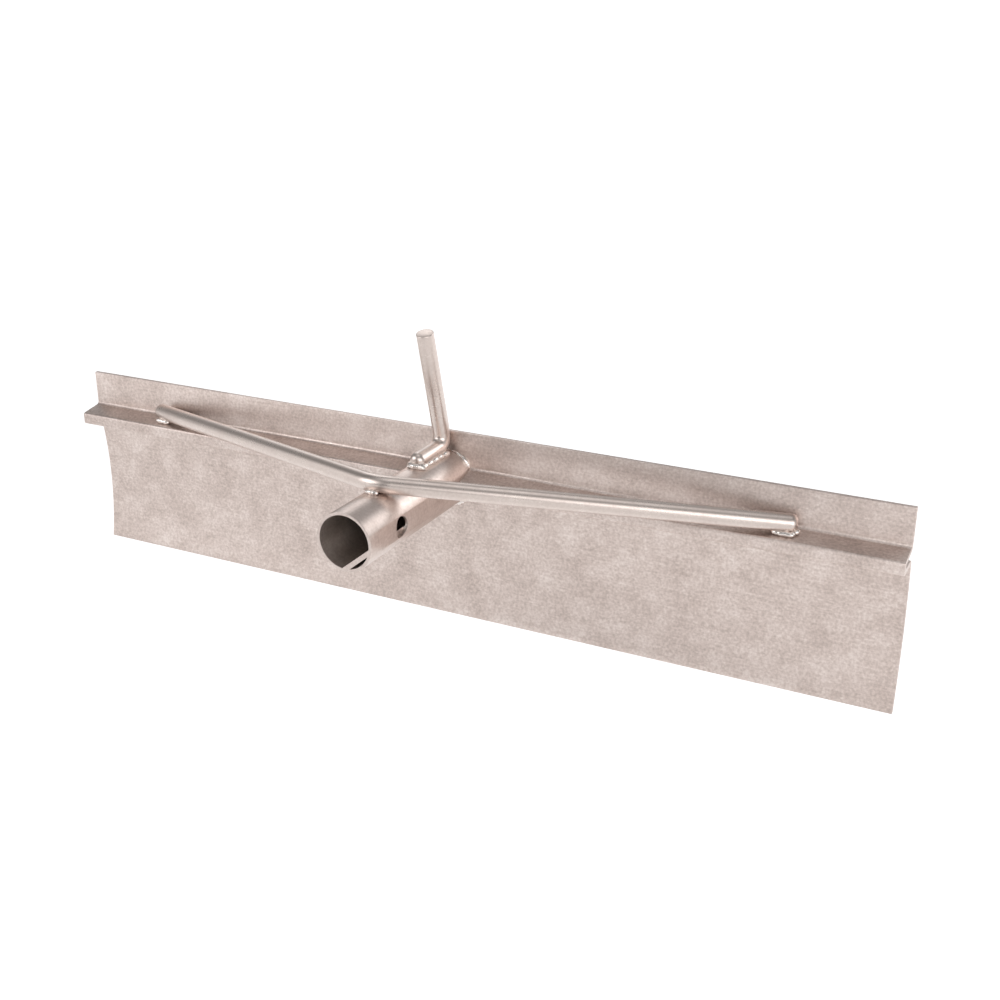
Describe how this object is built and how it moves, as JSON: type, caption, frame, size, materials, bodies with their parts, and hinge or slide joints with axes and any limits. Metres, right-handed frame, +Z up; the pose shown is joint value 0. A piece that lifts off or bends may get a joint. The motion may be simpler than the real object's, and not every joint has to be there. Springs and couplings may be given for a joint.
{
  "type": "concrete placer head",
  "caption": "Aluminium concrete placer (come-along) head: ribbed flange over a curved blade, a round handle socket with a button hole, a V brace bar and a lifting hook.",
  "frame": {"origin": "centre of the handle socket's open mouth, on the socket's axis", "axes": "+Y along the socket from its mouth to the blade, +X along the blade to the right as the user sees it, +Z up, towards the hook's tip"},
  "size_m": [0.508, 0.1118, 0.1728],
  "materials": {
    "blade_metal": "mill finish, satin, faintly mottled",
    "tube_metal": "mill finish tube, satin",
    "brace_metal": "drawn bar, satin",
    "hook_metal": "drawn bar, satin",
    "weld_metal": "weld bead as laid, rippled and bright"
  },
  "bodies": {
    "root": {"blade": "blade_metal", "socket_tube": "tube_metal", "brace_rod": "brace_metal", "lifting_hook": "hook_metal", "flange_weld_left": "weld_metal", "flange_weld_right": "weld_metal", "lower_blade_weld": "weld_metal", "hook_weld": "weld_metal", "brace_weld_front": "weld_metal", "brace_weld_rear": "weld_metal", "brace_end_weld_left": "weld_metal", "brace_end_weld_right": "weld_metal"}
  },
  "joints": []
}
